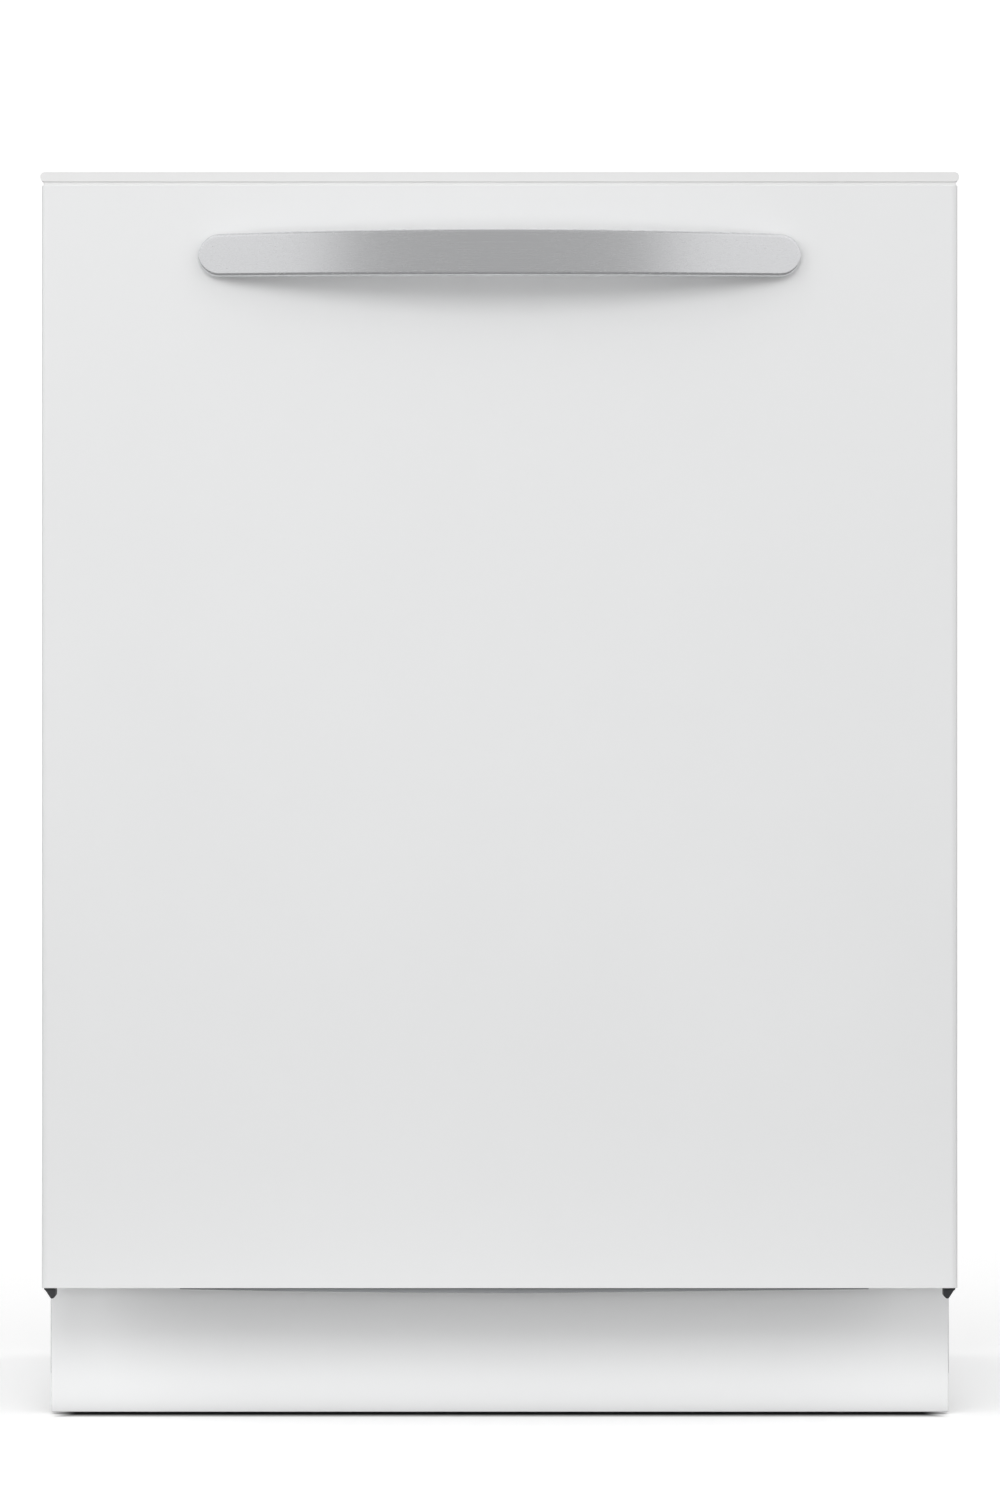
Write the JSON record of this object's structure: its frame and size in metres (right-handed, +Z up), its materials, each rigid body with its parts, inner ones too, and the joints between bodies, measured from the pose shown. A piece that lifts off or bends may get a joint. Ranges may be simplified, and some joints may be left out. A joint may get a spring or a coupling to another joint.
{
  "type": "built-in dishwasher",
  "caption": "Built-in dishwasher with a white drop-down door, bowed steel bar handle, hidden top controls, two sliding racks and rotating spray arms",
  "frame": {"origin": "on the floor under the middle of the machine's plan, handle included", "axes": "+Z up, +X to the right seen from the front, the door faces -Y"},
  "size_m": [0.6, 0.615, 0.818],
  "materials": {
    "white_paint": "smooth satin white enamel",
    "brushed_steel": "fine horizontal brushing, satin",
    "tub_steel": "smooth pressed stainless sheet",
    "zinc_steel": "zinc plated sheet with faint spangle",
    "dark_plastic": "fine moulded texture, matt",
    "grey_plastic": "fine moulded texture, satin",
    "white_plastic": "smooth satin moulding",
    "rubber": "matt black rubber",
    "felt": "pressed fibre mat",
    "wire_coat": "nylon coated steel wire, satin",
    "smoked_glass": "smoked, glossy"
  },
  "bodies": {
    "machine_body": {"tub": "tub_steel", "tub_gasket": "rubber", "insulation_wrap": "felt", "cross_rail": "zinc_steel", "latch_strike": "zinc_steel", "base_tray": "dark_plastic", "toe_panel": "white_paint", "worktop_bracket_left": "zinc_steel", "worktop_bracket_right": "zinc_steel", "side_panel_left": "zinc_steel", "side_panel_right": "zinc_steel", "hinge_bracket_left": "zinc_steel", "hinge_bracket_right": "zinc_steel", "door_spring_left": "zinc_steel", "door_spring_right": "zinc_steel", "sump": "dark_plastic", "filter_plate": "brushed_steel", "feed_tube": "grey_plastic", "circulation_pump": "dark_plastic", "drain_pump": "dark_plastic", "inlet_valve": "white_plastic", "upper_rail_left": "zinc_steel", "upper_rail_right": "zinc_steel"},
    "door": {"door_outer_panel": "white_paint", "door_inner_liner": "tub_steel", "control_console": "white_plastic", "display_window": "smoked_glass", "control_board": "dark_plastic", "door_latch": "dark_plastic", "door_handle": "brushed_steel", "door_bottom_seal": "rubber", "door_corner_cap_left": "dark_plastic", "door_corner_cap_right": "dark_plastic", "hinge_arm_left": "zinc_steel", "hinge_arm_right": "zinc_steel", "dispenser_body": "grey_plastic"},
    "dispenser_lid": {"dispenser_lid": "grey_plastic"},
    "rinse_aid_cap": {"rinse_aid_cap": "dark_plastic"},
    "power_button": {"power_button": "grey_plastic"},
    "program_button": {"program_button": "grey_plastic"},
    "option_button": {"option_button": "grey_plastic"},
    "start_button": {"start_button": "grey_plastic"},
    "foot_front_left": {"foot_front_left": "dark_plastic"},
    "foot_front_right": {"foot_front_right": "dark_plastic"},
    "foot_rear_left": {"foot_rear_left": "dark_plastic"},
    "foot_rear_right": {"foot_rear_right": "dark_plastic"},
    "filter_cup": {"filter_cup": "grey_plastic"},
    "float_bell": {"float_bell": "grey_plastic"},
    "lower_spray_arm": {"lower_spray_arm": "grey_plastic"},
    "lower_rack": {"lower_rack": "wire_coat", "cutlery_basket": "grey_plastic"},
    "folding_tines": {"folding_tines": "wire_coat"},
    "wheel_front_left": {"wheel_front_left": "grey_plastic"},
    "wheel_front_right": {"wheel_front_right": "grey_plastic"},
    "wheel_rear_left": {"wheel_rear_left": "grey_plastic"},
    "wheel_rear_right": {"wheel_rear_right": "grey_plastic"},
    "upper_rack": {"upper_rack": "wire_coat"},
    "upper_spray_arm": {"upper_spray_arm": "grey_plastic"},
    "cup_shelf_left": {"cup_shelf_left": "grey_plastic"},
    "cup_shelf_right": {"cup_shelf_right": "grey_plastic"}
  },
  "joints": [
    {"name": "door_hinge", "type": "hinge", "parent": "machine_body", "child": "door", "pos_m": [0, -0.2535, 0.1245], "axis": [1, 0, 0], "range_deg": [0, 90]},
    {"name": "lower_rack_slide", "type": "slide", "parent": "machine_body", "child": "lower_rack", "axis": [0, -1, 0], "range_m": [0, 0.181]},
    {"name": "upper_rack_slide", "type": "slide", "parent": "machine_body", "child": "upper_rack", "axis": [0, -1, 0], "range_m": [0, 0.393]},
    {"name": "wheel_front_left_roll", "type": "hinge", "parent": "lower_rack", "child": "wheel_front_left", "pos_m": [-0.252, -0.1035, 0.1914], "axis": [1, 0, 0], "range_deg": [0, 545]},
    {"name": "wheel_front_right_roll", "type": "hinge", "parent": "lower_rack", "child": "wheel_front_right", "pos_m": [0.252, -0.1035, 0.1914], "axis": [1, 0, 0], "range_deg": [0, 545]},
    {"name": "wheel_rear_left_roll", "type": "hinge", "parent": "lower_rack", "child": "wheel_rear_left", "pos_m": [-0.252, 0.1935, 0.1914], "axis": [1, 0, 0], "range_deg": [0, 545]},
    {"name": "wheel_rear_right_roll", "type": "hinge", "parent": "lower_rack", "child": "wheel_rear_right", "pos_m": [0.252, 0.1935, 0.1914], "axis": [1, 0, 0], "range_deg": [0, 545]},
    {"name": "lower_spray_spin", "type": "hinge", "parent": "machine_body", "child": "lower_spray_arm", "pos_m": [0, 0.0431, 0.184], "axis": [0, 0, 1], "continuous": true},
    {"name": "upper_spray_spin", "type": "hinge", "parent": "upper_rack", "child": "upper_spray_arm", "pos_m": [0, 0.0431, 0.433], "axis": [0, 0, 1], "continuous": true},
    {"name": "filter_turn", "type": "hinge", "parent": "machine_body", "child": "filter_cup", "pos_m": [0.045, 0.0881, 0.12], "axis": [0, 0, 1], "range_deg": [0, 90]},
    {"name": "float_lift", "type": "slide", "parent": "machine_body", "child": "float_bell", "axis": [0, 0, 1], "range_m": [0, 0.005]},
    {"name": "dispenser_lid_slide", "type": "slide", "parent": "door", "child": "dispenser_lid", "axis": [-1, 0, 0], "range_m": [0, 0.06]},
    {"name": "rinse_cap_turn", "type": "hinge", "parent": "door", "child": "rinse_aid_cap", "pos_m": [0.06, -0.208, 0.3745], "axis": [0, 1, 0], "range_deg": [0, 90]},
    {"name": "power_button_press", "type": "slide", "parent": "door", "child": "power_button", "axis": [0, 0, -1], "range_m": [0, 0.0015], "stiffness_N_per_m": 500},
    {"name": "program_button_press", "type": "slide", "parent": "door", "child": "program_button", "axis": [0, 0, -1], "range_m": [0, 0.0015], "stiffness_N_per_m": 500},
    {"name": "option_button_press", "type": "slide", "parent": "door", "child": "option_button", "axis": [0, 0, -1], "range_m": [0, 0.0015], "stiffness_N_per_m": 500},
    {"name": "start_button_press", "type": "slide", "parent": "door", "child": "start_button", "axis": [0, 0, -1], "range_m": [0, 0.0015], "stiffness_N_per_m": 500},
    {"name": "foot_front_left_screw", "type": "slide", "parent": "machine_body", "child": "foot_front_left", "axis": [0, 0, -1], "range_m": [0, 0.045]},
    {"name": "foot_front_right_screw", "type": "slide", "parent": "machine_body", "child": "foot_front_right", "axis": [0, 0, -1], "range_m": [0, 0.045]},
    {"name": "foot_rear_left_screw", "type": "slide", "parent": "machine_body", "child": "foot_rear_left", "axis": [0, 0, -1], "range_m": [0, 0.045]},
    {"name": "foot_rear_right_screw", "type": "slide", "parent": "machine_body", "child": "foot_rear_right", "axis": [0, 0, -1], "range_m": [0, 0.045]},
    {"name": "tines_fold", "type": "hinge", "parent": "lower_rack", "child": "folding_tines", "pos_m": [0, 0.0265, 0.2064], "axis": [-1, 0, 0], "range_deg": [0, 85]},
    {"name": "cup_shelf_left_fold", "type": "hinge", "parent": "upper_rack", "child": "cup_shelf_left", "pos_m": [-0.245, 0.026, 0.56], "axis": [0, -1, 0], "range_deg": [0, 85]},
    {"name": "cup_shelf_right_fold", "type": "hinge", "parent": "upper_rack", "child": "cup_shelf_right", "pos_m": [0.245, 0.026, 0.56], "axis": [0, 1, 0], "range_deg": [0, 85]}
  ],
  "couplings": [
    {"joint": "lower_rack_slide", "follows": "door_hinge", "m_per_rad": 0.115},
    {"joint": "upper_rack_slide", "follows": "door_hinge", "m_per_rad": 0.25},
    {"joint": "wheel_front_left_roll", "follows": "door_hinge", "ratio": 6.0526},
    {"joint": "wheel_front_right_roll", "follows": "door_hinge", "ratio": 6.0526},
    {"joint": "wheel_rear_left_roll", "follows": "door_hinge", "ratio": 6.0526},
    {"joint": "wheel_rear_right_roll", "follows": "door_hinge", "ratio": 6.0526}
  ]
}
